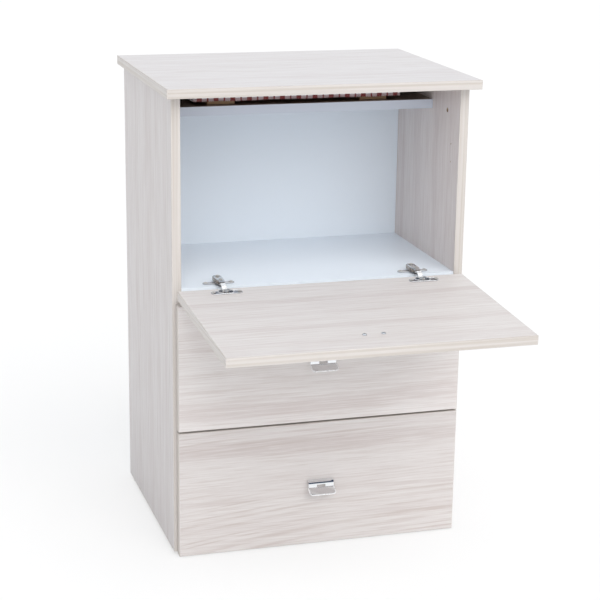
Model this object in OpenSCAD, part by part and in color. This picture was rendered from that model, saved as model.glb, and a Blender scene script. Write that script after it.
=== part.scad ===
// Drop-flap cabinet with two drawers and a padded board stowed under the top.
// Millimetres, +Z up, the front faces -Y. The origin is on the floor, midway
// between the front edge of the open flap and the rear edge of the top.
// The model is drawn with the flap open and the drawers shut.

/* [Carcass] */
// Width of the top
top_w = 550; // [500:5:620]
// Depth of the top
top_d = 430; // [420:2:440]
// Height of the top's upper face over the floor
total_h = 830; // [825:1:860]
// Thickness of every faced board
board = 16; // [15:0.5:16]
// Overhang of the top past each side
side_overhang = 12; // [5:1:20]
// Height of the glides under the sides
glide_h = 6; // [5:0.5:6]

/* [Compartment] */
// Height of the compartment floor's upper face
floor_z = 487; // [486:0.5:488]
// Distance from the top's front edge to the inner face of the back
back_from_front = 340; // [338:1:346]
// Height of the stow shelf's upper face
shelf_z = 774; // [768:1:776]
// Distance from the top's front edge to the shelf's front edge
shelf_from_front = 161; // [150:1:165]

/* [Flap] */
// Length of the flap from its hinge edge to its free edge
flap_l = 333.5; // [320:0.5:334]
// Angle of the open flap under the horizontal
droop = 3; // [2.8:0.1:3]
// Distance from the hinge edge to the line of the handle's screws
flap_handle_from_hinge = 274; // [240:1:280]

/* [Fronts] */
// Gap left at each end of a front, beside the outer face of the side
front_reveal = 6; // [4:0.5:8]
// Height of the lower drawer's front
lower_front_h = 229.5; // [226:0.5:230]
// Height of the upper drawer's front
upper_front_h = 226; // [220:0.5:226]
// Thickness of the edge bands
band = 1; // [0.5:0.1:1.2]

/* [Stowed board] */
// Width of the padded board
pad_w = 380; // [300:5:400]
// Depth of the padded board
pad_d = 232; // [180:2:232]

/* [Hidden] */
$fn = 48;

laminate = "#ddd6d0";
laminate_dark = "#d2cac4";
edge_tone = "#e6dac6";
white_board = "#e4ebf2";
metal = "#c9ccd0";
steel = "#aeb4ba";
plastic = "#e9e9e4";
beech = "#b08a5c";
cloth = "#c9b3b0";

// Places along Y, from the top's front edge backwards
top_front = -56;
front_setback = 28;
front_gap = 0.5;
side_front = top_front + front_setback;
front_back = side_front - front_gap;
front_face = front_back - board;
side_back = top_front + top_d - 2;
back_face = top_front + back_from_front;
panel_front = side_front + 2;

// Places along X and Z
outer_x = top_w / 2 - side_overhang;
inner_x = outer_x - board;
front_x = outer_x - front_reveal;
top_z = total_h - board;
lower_front_z = 2.5;
upper_front_z = lower_front_z + lower_front_h + 3;

// Fixings hidden in the panel joints
dowel_r = 4;
dowel_l = 30;
dowel_in_side = 10;
dowel_ys = [side_front + 60, back_face - 70];
cam_r = 7.5;
cam_h = 12;
cam_from_end = 34;
cam_ys = [side_front + 100, back_face - 110];
top_dowel_ys = [side_front + 50, side_back - 60];

// Pilot holes for a fitting on the compartment's walls
pilot_r = 1.5;
pilot_depth = 10;
pilot_y = side_front + 37;
pilot_zs = [678, 710];

// Concealed hinges
hinge_x = 177;
plate_y = top_front + 50;
ear_pitch = 45;
ear_end_r = 5.5;
cup_r = 13;
cup_depth = 11.6;
cup_from_edge = 17;
cup_wall = 0.6;
cup_rim = 1.6;
cup_ear_from_edge = 23;
arm_rear = top_front + 64;
plate_t = 2;
roof_z = floor_z + 11;
depth_screw_y = plate_y - 16;
fixing_screw_y = plate_y + 8;
ear_screw_head = [3.4, 1.6];
link_y = top_front + 19;
link_z = floor_z + 6.5;
pin_r = 1.2;
link_l = 14;

// Drawer boxes
box_wall = 12;
box_h = 150;
box_l = 280;
box_x = inner_x - 13;
lower_box_z = 38;
upper_box_z = 266;
groove_z = 8;
groove_h = 3.4;
groove_depth = 5;
bottom_play = 0.1;
box_cam_l = 9.6;
box_cam_from_front = 24;
fixing_zs = [30, box_h - 30];
corner_screw_r = 2.6;

// Slides
slide_l = 250;
slide_front = side_front + 4;
slide_rise = 50;
steel_t = 1.2;
channel_h = 35;
channel_d = 10.6;
rail_h = 25.4;
rail_d = 9.6;
shank_r = 1.5;
channel_screw_ys = [slide_front + 20, slide_front + 225];
rail_screw_ys = [slide_front + 35, slide_front + 210];

// Ball cages
cage_l = 75;
cage_front = top_front + 119;
strip_z = 14.5;
strip_t = 1;
ball_r = 1.75;
ball_hole_r = 2.06;
ball_x = inner_x - 6;
ball_ys = [for (i = [0:3]) cage_front + 7.5 + 20 * i];

// Handle
handle_w = 47;
screw_pitch = 32;
pull_screw_r = 1.65;
pull_hole_r = 2.3;

// ---------- helpers ----------

// A block from one corner to the opposite one
module block(a, b) {
  translate(a) cube(b - a);
}

module rod(r, l, at, dir) {
  turn = dir == "x" ? [0, 90, 0] : dir == "y" ? [-90, 0, 0] : [0, 0, 0];
  translate(at) rotate(turn) cylinder(r = r, h = l);
}

// A screw that points down, its head standing on z = 0 with a cross recess
module cross_screw(head_r, head_h, r, l) {
  difference() {
    union() {
      cylinder(r = head_r, h = head_h);
      translate([0, 0, -l]) cylinder(r = r, h = l);
    }
    for (a = [0, 90]) rotate(a) translate([0, 0, head_h]) cube([1.2 * head_r, 0.8, 1.4], center = true);
  }
}

// Children on both sides of the cabinet
module both_sides() {
  for (m = [0, 1]) mirror([m, 0, 0]) children();
}

// Flap space: the hinge edge lies on X, the inner face in z = 0, the free edge towards -Y
module in_flap() {
  translate([0, top_front + 14, floor_z]) rotate([droop, 0, 0]) children();
}

// Straight bands round a board that lies in a plane; w and l are the outer sizes
module band_frame(w, l, t) {
  for (s = [-1, 1]) translate([s * (w - band) / 2, 0, t / 2]) cube([band, l, t], center = true);
  for (s = [-1, 1]) {
    translate([0, s * (l - band) / 2, t / 2]) cube([w - 2 * band, band, t], center = true);
  }
}

// ---------- carcass ----------

module top_panel() {
  color(laminate) difference() {
    translate([-top_w / 2 + band, top_front + band, top_z]) cube([top_w - 2 * band, top_d - 2 * band, board]);
    both_sides() for (y = top_dowel_ys) rod(dowel_r, 11, [inner_x + board / 2, y, top_z - 1], "z");
  }
}

// The top's left band is in two lengths that meet behind the front corner
module carcass_edge_bands() {
  joint_y = top_front + 148;
  rear = top_front + top_d;
  color(edge_tone) {
    block([-top_w / 2 + band, top_front, top_z], [top_w / 2 - band, top_front + band, total_h]);
    block([-top_w / 2 + band, rear - band, top_z], [top_w / 2 - band, rear, total_h]);
    block([top_w / 2 - band, top_front, top_z], [top_w / 2, rear, total_h]);
    block([-top_w / 2, top_front, top_z], [-top_w / 2 + band, joint_y, total_h]);
    block([-top_w / 2, joint_y + 0.3, top_z], [-top_w / 2 + band, rear, total_h]);
    both_sides() block([inner_x, side_front, glide_h], [outer_x, side_front + band, top_z]);
  }
}

module side_panel() {
  difference() {
    block([inner_x, side_front + band, glide_h], [outer_x, side_back, top_z]);
    for (y = dowel_ys, z = [glide_h, floor_z - board, shelf_z - board]) {
      rod(dowel_r, dowel_in_side + 1, [inner_x - 1, y, z + board / 2], "x");
    }
    for (y = top_dowel_ys) rod(dowel_r, dowel_l - 9, [inner_x + board / 2, y, top_z - dowel_l + 10], "z");
    for (z = pilot_zs) {
      rod(pilot_r, pilot_depth + 1, [inner_x - 1, pilot_y, z], "x");
    }
    for (z = [lower_box_z, upper_box_z], y = channel_screw_ys) {
      rod(shank_r, 11, [inner_x - 1, y, z + slide_rise], "x");
    }
  }
}

module left_side() {
  color(laminate) mirror([1, 0, 0]) side_panel();
}

module right_side() {
  color(laminate) side_panel();
}

// A horizontal board between the sides, dowelled and cammed at both ends
module cross_board(front, back, z) {
  difference() {
    block([-inner_x, front, z], [inner_x, back, z + board]);
    both_sides() {
      for (y = dowel_ys) if (y > front) {
        rod(dowel_r, dowel_l - dowel_in_side + 1, [inner_x - dowel_l + dowel_in_side, y, z + board / 2], "x");
      }
      for (y = cam_ys) if (y > front + cam_r) rod(cam_r, cam_h + 1, [inner_x - cam_from_end, y, z - 1], "z");
    }
  }
}

module compartment_floor() {
  color(white_board) difference() {
    cross_board(panel_front, back_face, floor_z - board);
    both_sides() for (s = [-1, 1]) {
      rod(shank_r, 12, [hinge_x + s * ear_pitch / 2, plate_y, floor_z - 11], "z");
    }
  }
}

module stow_shelf() {
  color(white_board) cross_board(top_front + shelf_from_front, side_back, shelf_z - board);
}

module bottom_panel() {
  color(white_board) cross_board(panel_front, back_face, glide_h);
}

module back_panel() {
  color(white_board) block([-inner_x, back_face, glide_h], [inner_x, back_face + board, shelf_z - board]);
}

module rear_rail() {
  color(laminate_dark) block([-inner_x, side_back - board, shelf_z], [inner_x, side_back, top_z]);
}

// Nail-on glides under the sides
module glides() {
  r = 7.5;
  rounding = 2;
  from_end = 30;
  color(plastic) both_sides() for (y = [side_front + from_end, side_back - from_end]) {
    translate([inner_x + board / 2, y, 0]) {
      cylinder(r1 = r - 1, r2 = r, h = rounding);
      translate([0, 0, rounding]) cylinder(r = r, h = glide_h - rounding);
    }
  }
}

module dowels() {
  color(beech) both_sides() {
    for (y = dowel_ys, z = [glide_h, floor_z - board, shelf_z - board]) {
      if (y > top_front + shelf_from_front || z < shelf_z - board) {
        rod(dowel_r, dowel_l, [inner_x - dowel_l + dowel_in_side, y, z + board / 2], "x");
      }
    }
    for (y = top_dowel_ys) rod(dowel_r, dowel_l, [inner_x + board / 2, y, top_z - dowel_l + 10], "z");
  }
}

module cam_lock(at) {
  difference() {
    rod(cam_r, cam_h, at, "z");
    translate(at + [0, 0, -0.5]) for (a = [0, 90]) rotate(a) cube([1.2 * cam_r, 1.6, 3], center = true);
  }
}

module cam_locks() {
  color(steel) both_sides() {
    for (y = cam_ys, z = [glide_h, floor_z - board, shelf_z - board]) {
      if (y > top_front + shelf_from_front + cam_r || z < shelf_z - board) {
        cam_lock([inner_x - cam_from_end, y, z]);
      }
    }
  }
}

// ---------- hinges ----------

// A rounded ear plate, thickness t, with screw holes at both ends
module ear_plate(pitch, reach, t, hole_r) {
  difference() {
    hull() for (s = [-1, 1]) translate([s * pitch / 2, 0, 0]) cylinder(r = reach, h = t);
    for (s = [-1, 1]) translate([s * pitch / 2, 0, -1]) cylinder(r = hole_r, h = t + 2);
  }
}

module hinge_plates() {
  rail_w = 9.2;
  color(metal) both_sides() translate([hinge_x, plate_y, floor_z]) {
    difference() {
      union() {
        ear_plate(ear_pitch, ear_end_r, plate_t, 2);
        translate([-rail_w / 2, -22, 0]) cube([rail_w, 38, plate_t]);
        translate([-rail_w / 2, -8, plate_t]) cube([rail_w, 24, 5.4]);
      }
      translate([0, fixing_screw_y - plate_y, 1]) cylinder(r = 1.6, h = 8);
    }
  }
}

module hinge_plate_screws() {
  color(steel) both_sides() for (s = [-1, 1]) {
    translate([hinge_x + s * ear_pitch / 2, plate_y, floor_z + plate_t]) {
      cross_screw(ear_screw_head[0], ear_screw_head[1], shank_r, 12);
    }
  }
}

// A folded steel arm: a roof and two cheeks that narrow to the nose round the pin
module hinge_arm() {
  wide = 7.5;
  nose = 5.6;
  wall = 1.1;
  nose_back = top_front + 31;
  translate([hinge_x, 0, 0]) difference() {
    union() {
      // broad rear part
      block([-wide, nose_back, roof_z - wall], [wide, arm_rear, roof_z]);
      for (s = [-1, 1]) translate([s * (wide - wall / 2), (nose_back + arm_rear) / 2, floor_z + 6.7]) {
        cube([wall, arm_rear - nose_back, 8.6], center = true);
      }
      // shoulders between the rear part and the nose
      for (s = [-1, 1]) translate([s * (wide + nose) / 2, nose_back, floor_z + 7.2]) {
        cube([wide - nose + 2 * wall, wall, 7.6], center = true);
      }
      // nose
      block([-nose, link_y + 4, roof_z - wall - 0.4], [nose, nose_back + 0.5, roof_z - 0.4]);
      for (s = [-1, 1]) {
        translate([s * (nose - wall / 2), (link_y + nose_back) / 2, link_z + 0.2]) {
          cube([wall, nose_back - link_y, 4.6], center = true);
        }
        translate([s * (nose - wall / 2) - wall / 2, link_y, link_z]) rotate([0, 90, 0]) {
          cylinder(r = 2.3, h = wall);
        }
      }
    }
    translate([-10, link_y, link_z]) rotate([0, 90, 0]) cylinder(r = pin_r, h = 20);
    for (y = [depth_screw_y, fixing_screw_y]) translate([0, y, roof_z - 3]) cylinder(r = 2.2, h = 5);
  }
}

module hinge_arm_left() {
  color(metal) mirror([1, 0, 0]) hinge_arm();
}

module hinge_arm_right() {
  color(metal) hinge_arm();
}

// Fixing and depth screws on each arm's roof
module hinge_arm_screws() {
  color(steel) both_sides() {
    translate([hinge_x, fixing_screw_y, roof_z]) cross_screw(3.6, 2, 1.6, 9);
    translate([hinge_x, depth_screw_y, roof_z]) cross_screw(3.2, 1.6, 2.2, 7);
  }
}

module hinge_pins() {
  color(steel) both_sides() rod(pin_r, 11.8, [hinge_x - 5.9, link_y, link_z], "x");
}

// The link: a barrel on the pin, a strap and a lip that dips into the cup
module hinge_link() {
  half_w = 4.3;
  strap_t = 1.6;
  lip_l = 3.6;
  translate([hinge_x, link_y, link_z]) rotate([15, 0, 0]) difference() {
    union() {
      translate([-half_w, 0, 0]) rotate([0, 90, 0]) cylinder(r = 2, h = 2 * half_w);
      translate([-half_w, -link_l, 0.2]) cube([2 * half_w, link_l, strap_t]);
      translate([0, -link_l, 0.2]) rotate([-15, 0, 0]) {
        translate([-half_w, 0, strap_t - lip_l]) cube([2 * half_w, strap_t, lip_l - 0.4]);
      }
    }
    translate([-half_w - 1, 0, 0]) rotate([0, 90, 0]) cylinder(r = pin_r + 0.06, h = 2 * half_w + 2);
  }
}

module hinge_link_left() {
  color(metal) mirror([1, 0, 0]) hinge_link();
}

module hinge_link_right() {
  color(metal) hinge_link();
}

// ---------- flap ----------

module flap_panel() {
  color(laminate) in_flap() difference() {
    block([-front_x + band, -flap_l + band, -board], [front_x - band, -band, 0]);
    both_sides() {
      translate([hinge_x, -cup_from_edge, -cup_depth]) cylinder(r = cup_r, h = cup_depth + 1);
      for (s = [-1, 1]) {
        translate([hinge_x + s * ear_pitch / 2, -cup_ear_from_edge, -10]) cylinder(r = shank_r, h = 11);
      }
    }
    for (s = [-1, 1]) {
      translate([s * screw_pitch / 2, -flap_handle_from_hinge, -board - 1]) {
        cylinder(r = pull_hole_r, h = board + 2);
      }
    }
  }
}

module flap_edge_bands() {
  color(edge_tone) in_flap() translate([0, -flap_l / 2, -board]) band_frame(2 * front_x, flap_l, board);
}

module flap_handle() {
  color(metal) in_flap() {
    translate([0, -flap_handle_from_hinge, -board]) rotate([90, 0, 0]) pull();
  }
}

module flap_handle_screws() {
  color(steel) in_flap() {
    translate([0, -flap_handle_from_hinge, -board]) rotate([90, 0, 0]) pull_screws();
  }
}

// A pressed cup with an ear flange on the flap's inner face
module hinge_cups() {
  color(metal) in_flap() both_sides() translate([hinge_x, -cup_from_edge, 0]) {
    difference() {
      union() {
        translate([0, 0, -cup_depth]) cylinder(r = cup_r - 0.02, h = cup_depth);
        cylinder(r = cup_r + 1.2, h = cup_rim);
        translate([0, cup_from_edge - cup_ear_from_edge, 0]) ear_plate(ear_pitch, ear_end_r, cup_rim, 2);
      }
      translate([0, 0, cup_wall - cup_depth]) cylinder(r = cup_r - cup_wall, h = cup_depth + 4);
      for (s = [-1, 1]) {
        translate([s * ear_pitch / 2, cup_from_edge - cup_ear_from_edge, -1]) cylinder(r = 2, h = 5);
      }
    }
  }
}

module hinge_cup_screws() {
  color(steel) in_flap() both_sides() for (s = [-1, 1]) {
    translate([hinge_x + s * ear_pitch / 2, -cup_ear_from_edge, cup_rim]) {
      cross_screw(ear_screw_head[0], ear_screw_head[1], shank_r, 11.6);
    }
  }
}

// ---------- handle ----------

// A chrome pull in its own space: the front face is the plane y = 0, out is -Y, up is +Z.
// Its section is a hooked top, an upright wall off the face and a lip that falls forwards.
module pull() {
  half = handle_w / 2;
  wall = 1.7;
  stand = 8.4;
  reach = 24;
  post_r = 4;
  corner_r = 3;
  window = [15.7, 4, 6.2];
  section = [
    [0, 7.6], [-2, 7.6], [-4.8, 6.7], [-6.9, 4.8], [-8.1, 2.6], [-stand, 0.3], [-stand, -5],
    [-reach + 2, -12], [-reach, -12.8], [-reach + 0.4, -14.6], [-reach + 2.4, -14.4],
    [-stand + wall, -6.3], [-stand + wall, 0.5], [-6.2, 2.6], [-5, 4.3], [-3.3, 5.4], [0, 5.9]
  ];
  difference() {
    union() {
      intersection() {
        translate([-half, 0, 0]) rotate([90, 0, 90]) linear_extrude(handle_w) polygon(section);
        // the lip narrows to the rim with rounded corners
        translate([0, 0, -30]) linear_extrude(60) hull() {
          translate([-half, -stand - 2]) square([handle_w, stand + 2]);
          for (s = [-1, 1]) translate([s * (half - 5), -reach + corner_r]) circle(r = corner_r);
        }
      }
      for (s = [-1, 1]) translate([s * screw_pitch / 2, 0, 0]) rotate([90, 0, 0]) {
        cylinder(r = post_r, h = stand - 1.4);
      }
    }
    translate([-window[0] / 2, -stand - 1, -6.2]) cube(window);
    for (s = [-1, 1]) translate([s * screw_pitch / 2, 1, 0]) rotate([90, 0, 0]) {
      cylinder(r = pull_screw_r, h = 7);
    }
  }
}

// Machine screws that pass through the board from inside
module pull_screws() {
  for (s = [-1, 1]) translate([s * screw_pitch / 2, board, 0]) rotate([-90, 0, 0]) {
    cross_screw(3.8, 2.2, pull_screw_r, board + 5.5);
  }
}

// ---------- drawers ----------

module drawer_front(z, h) {
  mid = z + h / 2;
  color(laminate) difference() {
    block([-front_x + band, front_face, z + band], [front_x - band, front_back, z + h - band]);
    for (s = [-1, 1]) rod(pull_hole_r, board + 2, [s * screw_pitch / 2, front_face - 1, mid], "y");
  }
}

module drawer_edge_bands(z, h) {
  color(edge_tone) translate([0, front_back, z + h / 2]) rotate([90, 0, 0]) band_frame(2 * front_x, h, board);
}

corner_screw_y = front_back + box_l - box_wall / 2;
corner_screw_l = 36;

module drawer_side(box_z) {
  difference() {
    block([box_x - box_wall, front_back, box_z], [box_x, front_back + box_l, box_z + box_h]);
    translate([box_x - box_wall - 1, front_back - 1, box_z + groove_z]) {
      cube([groove_depth + 1, box_l + 2, groove_h]);
    }
    for (z = fixing_zs) {
      rod(cam_r, box_cam_l, [box_x - box_wall - 1, front_back + box_cam_from_front, box_z + z], "x");
      rod(corner_screw_r, box_wall + 2, [box_x - box_wall - 1, corner_screw_y, box_z + z], "x");
    }
    for (y = rail_screw_ys) rod(shank_r, 10, [box_x - 9, y, box_z + slide_rise], "x");
  }
}

module drawer_back(box_z) {
  half = box_x - box_wall;
  y1 = front_back + box_l;
  color(white_board) difference() {
    block([-half, y1 - box_wall, box_z + groove_z + groove_h], [half, y1, box_z + box_h]);
    both_sides() for (z = fixing_zs) {
      rod(corner_screw_r, corner_screw_l + 2, [box_x - 1 - corner_screw_l, corner_screw_y, box_z + z], "x");
    }
  }
}

// Thin board in the sides' grooves, under the back and against the front
module drawer_bottom(box_z) {
  half = box_x - box_wall + groove_depth - 2 * bottom_play;
  z0 = box_z + groove_z + bottom_play;
  z1 = box_z + groove_z + groove_h - bottom_play;
  color(white_board) block([-half, front_back, z0], [half, front_back + box_l, z1]);
}

module drawer_cams(box_z) {
  color(steel) both_sides() for (z = fixing_zs) {
    translate([box_x - box_wall + 0.1, front_back + box_cam_from_front, box_z + z]) rotate([0, 90, 0]) {
      cylinder(r = cam_r - 0.05, h = box_cam_l - 1.2);
    }
  }
}

module drawer_corner_screws(box_z) {
  color(steel) both_sides() for (z = fixing_zs) {
    rod(corner_screw_r, corner_screw_l, [box_x - 0.3 - corner_screw_l, corner_screw_y, box_z + z], "x");
  }
}

module drawer_handle(z, h) {
  color(metal) translate([0, front_face, z + h / 2]) pull();
}

module drawer_handle_screws(z, h) {
  color(steel) translate([0, front_face, z + h / 2]) pull_screws();
}

// ---------- slides ----------

// A channel that opens towards the cabinet's middle, its web on the plane x = 0
module channel(h, depth) {
  rotate([-90, 0, 0]) linear_extrude(slide_l) difference() {
    translate([-depth, -h / 2]) square([depth, h]);
    translate([-depth - 1, -h / 2 + steel_t]) square([depth + 1 - steel_t, h - 2 * steel_t]);
  }
}

module slide_channels() {
  color(steel) both_sides() for (z = [lower_box_z, upper_box_z]) {
    translate([inner_x, slide_front, z + slide_rise]) difference() {
      channel(channel_h, channel_d);
      for (y = channel_screw_ys) rod(shank_r, 4, [-3, y - slide_front, 0], "x");
    }
  }
}

module slide_rails(box_z) {
  color(steel) both_sides() translate([box_x, slide_front, box_z + slide_rise]) difference() {
    mirror([1, 0, 0]) channel(rail_h, rail_d);
    for (y = rail_screw_ys) rod(shank_r, 4, [-1, y - slide_front, 0], "x");
  }
}

module rail_screws(box_z) {
  color(steel) both_sides() for (y = rail_screw_ys) {
    translate([box_x + steel_t, y, box_z + slide_rise]) rotate([0, 90, 0]) {
      cross_screw(slide_screw_head_r, 1.4, shank_r, 9.6);
    }
  }
}

slide_screw_head_r = 3.2;
flat_head_h = 0.35;

module slide_channel_screws() {
  color(steel) both_sides() for (z = [lower_box_z, upper_box_z], y = channel_screw_ys) {
    translate([inner_x - steel_t, y, z + slide_rise]) rotate([0, 90, 0]) {
      translate([0, 0, -flat_head_h]) cylinder(r = slide_screw_head_r, h = flat_head_h);
      cylinder(r = shank_r, h = 10.5);
    }
  }
}

// Ball strips between the channel's and the rail's flanges, joined by a web
module ball_cages(box_z) {
  x0 = inner_x - 9.4;
  x1 = inner_x - 1.8;
  web_t = 0.7;
  mid = box_z + slide_rise;
  color(plastic) both_sides() difference() {
    union() {
      for (s = [-1, 1]) {
        translate([x0, cage_front, mid + s * strip_z - strip_t / 2]) cube([x1 - x0, cage_l, strip_t]);
      }
      translate([x1 - web_t, cage_front, mid - strip_z]) cube([web_t, cage_l, 2 * strip_z]);
    }
    for (s = [-1, 1], y = ball_ys) {
      translate([ball_x, y, mid + s * strip_z - 2 * strip_t]) cylinder(r = ball_hole_r, h = 4 * strip_t);
    }
  }
}

module balls(box_z) {
  color(metal) both_sides() for (s = [-1, 1], y = ball_ys) {
    translate([ball_x, y, box_z + slide_rise + s * strip_z]) sphere(r = ball_r);
  }
}

// ---------- stowed padded board ----------

pad_front = top_front + 176;
batten_z = shelf_z + 0.3;
batten_h = 8;
batten_x = [115, 165];
core_z = batten_z + batten_h;
core_t = 16;
cloth_t = 2;
pad_t = 6;

module stow_board_core() {
  color(beech) translate([-pad_w / 2 + cloth_t, pad_front + cloth_t, core_z]) {
    cube([pad_w - 2 * cloth_t, pad_d - 2 * cloth_t, core_t]);
  }
}

// The padded cloth over the core's upper face and edges, open underneath
module stow_board_cover() {
  color(cloth) difference() {
    block([-pad_w / 2, pad_front, core_z - 1.5], [pad_w / 2, pad_front + pad_d, core_z + core_t + pad_t]);
    translate([-pad_w / 2 + cloth_t, pad_front + cloth_t, core_z - 3]) {
      cube([pad_w - 2 * cloth_t, pad_d - 2 * cloth_t, core_t + 3]);
    }
  }
}

module stow_board_battens() {
  color(beech) both_sides() {
    block([batten_x[0], pad_front + 4, batten_z], [batten_x[1], pad_front + pad_d - 4, core_z]);
  }
}

top_panel();
carcass_edge_bands();
left_side();
right_side();
compartment_floor();
stow_shelf();
bottom_panel();
back_panel();
rear_rail();
glides();
dowels();
cam_locks();
hinge_plates();
hinge_plate_screws();
hinge_arm_left();
hinge_arm_right();
hinge_arm_screws();
hinge_pins();
slide_channels();
slide_channel_screws();
flap_panel();
flap_edge_bands();
flap_handle();
flap_handle_screws();
hinge_cups();
hinge_cup_screws();
hinge_link_left();
hinge_link_right();
drawer_front(lower_front_z, lower_front_h);  // lower_front
drawer_edge_bands(lower_front_z, lower_front_h);  // lower_edge_bands
color(white_board) mirror([1, 0, 0]) drawer_side(lower_box_z);  // lower_left_side
color(white_board) drawer_side(lower_box_z);  // lower_right_side
drawer_back(lower_box_z);  // lower_back
drawer_bottom(lower_box_z);  // lower_bottom
drawer_cams(lower_box_z);  // lower_cams
drawer_corner_screws(lower_box_z);  // lower_corner_screws
drawer_handle(lower_front_z, lower_front_h);  // lower_handle
drawer_handle_screws(lower_front_z, lower_front_h);  // lower_handle_screws
slide_rails(lower_box_z);  // lower_slide_rails
rail_screws(lower_box_z);  // lower_rail_screws
drawer_front(upper_front_z, upper_front_h);  // upper_front
drawer_edge_bands(upper_front_z, upper_front_h);  // upper_edge_bands
color(white_board) mirror([1, 0, 0]) drawer_side(upper_box_z);  // upper_left_side
color(white_board) drawer_side(upper_box_z);  // upper_right_side
drawer_back(upper_box_z);  // upper_back
drawer_bottom(upper_box_z);  // upper_bottom
drawer_cams(upper_box_z);  // upper_cams
drawer_corner_screws(upper_box_z);  // upper_corner_screws
drawer_handle(upper_front_z, upper_front_h);  // upper_handle
drawer_handle_screws(upper_front_z, upper_front_h);  // upper_handle_screws
slide_rails(upper_box_z);  // upper_slide_rails
rail_screws(upper_box_z);  // upper_rail_screws
ball_cages(lower_box_z);  // ball_cages_lower
balls(lower_box_z);  // balls_lower
ball_cages(upper_box_z);  // ball_cages_upper
balls(upper_box_z);  // balls_upper
stow_board_core();
stow_board_cover();
stow_board_battens();
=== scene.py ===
"""Looks of the bedside cabinet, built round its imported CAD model.

Metres, +Z up, the front faces -Y, the same frame as the CAD. The boards, slides and other plain parts
are the CAD's own, with procedural materials. Edge bands, pulls, hinges, their screws and the padded
board's cloth are finer pieces that stand for their CAD nodes.
"""
import math

import bmesh
import bpy
from mathutils import Matrix, Vector


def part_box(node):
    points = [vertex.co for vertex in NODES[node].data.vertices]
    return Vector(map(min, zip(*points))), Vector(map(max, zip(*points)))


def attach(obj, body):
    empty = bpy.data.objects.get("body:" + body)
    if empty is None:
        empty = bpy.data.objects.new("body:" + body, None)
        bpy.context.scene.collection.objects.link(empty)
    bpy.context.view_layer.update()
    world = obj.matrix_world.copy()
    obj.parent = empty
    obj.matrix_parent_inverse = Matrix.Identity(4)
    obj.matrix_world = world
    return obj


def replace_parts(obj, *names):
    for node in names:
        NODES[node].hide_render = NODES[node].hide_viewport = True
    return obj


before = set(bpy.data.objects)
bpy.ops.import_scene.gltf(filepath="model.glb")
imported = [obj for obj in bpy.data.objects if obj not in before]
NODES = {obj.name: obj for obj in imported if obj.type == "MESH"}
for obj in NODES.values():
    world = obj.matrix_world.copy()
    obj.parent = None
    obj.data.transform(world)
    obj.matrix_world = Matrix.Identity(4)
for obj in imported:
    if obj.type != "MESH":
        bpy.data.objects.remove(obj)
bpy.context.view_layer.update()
MM = 0.001

# ---------------------------------------------------------------- node helpers


class Nodes:
    """A node tree, with short calls that add nodes to it."""

    def __init__(self, tree):
        self.tree = tree

    def add(self, kind, feeds=None, **settings):
        made = self.tree.nodes.new(kind)
        for key, value in settings.items():
            setattr(made, key, value)
        for key, value in (feeds or {}).items():
            self.feed(made.inputs[key], value)
        return made

    def feed(self, socket, value):
        if isinstance(value, bpy.types.NodeSocket):
            self.tree.links.new(value, socket)
        else:
            socket.default_value = value

    def split(self, vector):
        return self.add("ShaderNodeSeparateXYZ", {0: vector}).outputs

    def between(self, value, low, high):
        """How far the value is from low to high, as 0 to 1."""
        feeds = {"Value": value, "From Min": low, "From Max": high}
        return self.add("ShaderNodeMapRange", feeds).outputs["Result"]

    def ramp(self, value, *stops):
        """Value to colour, or to grey where a stop gives one number."""
        made = self.add("ShaderNodeValToRGB", {"Fac": value})
        elements = made.color_ramp.elements
        while len(elements) < len(stops):
            elements.new(0.5)
        for element, (place, colour) in zip(elements, stops):
            element.position = place
            element.color = (*colour, 1) if isinstance(colour, tuple) else (colour, colour, colour, 1)
        return made.outputs["Color"]

    def blend(self, share, a, b, how="MIX"):
        made = self.add("ShaderNodeMix", data_type="RGBA", blend_type=how, clamp_factor=True)
        for number, value in ((0, share), (6, a), (7, b)):
            self.feed(made.inputs[number], (*value, 1) if isinstance(value, tuple) else value)
        return made.outputs[2]

    def math(self, how, a, b=0.0, c=0.0):
        return self.add("ShaderNodeMath", {0: a, 1: b, 2: c}, operation=how).outputs[0]

    def times(self, a, b):
        return self.math("MULTIPLY", a, b)

    def plus(self, a, b):
        return self.math("ADD", a, b)

    def minus(self, a, b):
        return self.math("SUBTRACT", a, b)


class Shader(Nodes):
    """A Principled material in object coordinates."""

    def __init__(self, name, colour, roughness, metallic=0.0):
        self.material = bpy.data.materials.new(name)
        self.material.use_nodes = True
        super().__init__(self.material.node_tree)
        self.bsdf = self.tree.nodes["Principled BSDF"]
        self.bsdf.inputs["Base Color"].default_value = (*colour, 1)
        self.bsdf.inputs["Roughness"].default_value = roughness
        self.bsdf.inputs["Metallic"].default_value = metallic
        self.place = self.add("ShaderNodeTexCoord").outputs["Object"]

    def along(self, axis):
        """Object coordinates turned so that X runs along the grain."""
        parts = self.split(self.place)
        order = {"x": "XYZ", "y": "YXZ", "z": "ZXY"}[axis]
        return self.add("ShaderNodeCombineXYZ", {i: parts[c] for i, c in enumerate(order)}).outputs[0]

    def noise(self, place, scale, shift=(0, 0, 0), detail=2, roughness=0.5):
        """Noise with so many cells a metre: one number, or one for each axis."""
        scale = scale if isinstance(scale, tuple) else (scale, scale, scale)
        mapped = self.add("ShaderNodeMapping", {"Vector": place, "Scale": scale, "Location": shift})
        feeds = {"Vector": mapped.outputs[0], "Scale": 1, "Detail": detail, "Roughness": roughness}
        return self.add("ShaderNodeTexNoise", feeds).outputs["Fac"]

    def bump(self, height, distance, strength, under=None):
        made = self.add("ShaderNodeBump", {"Height": height, "Distance": distance, "Strength": strength})
        if under is not None:
            self.feed(made.inputs["Normal"], under)
        return made.outputs["Normal"]

    def finish(self, colour, roughness=None, normal=None):
        for name, value in (("Base Color", colour), ("Roughness", roughness), ("Normal", normal)):
            if value is not None:
                self.feed(self.bsdf.inputs[name], value)
        return self.material


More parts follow.
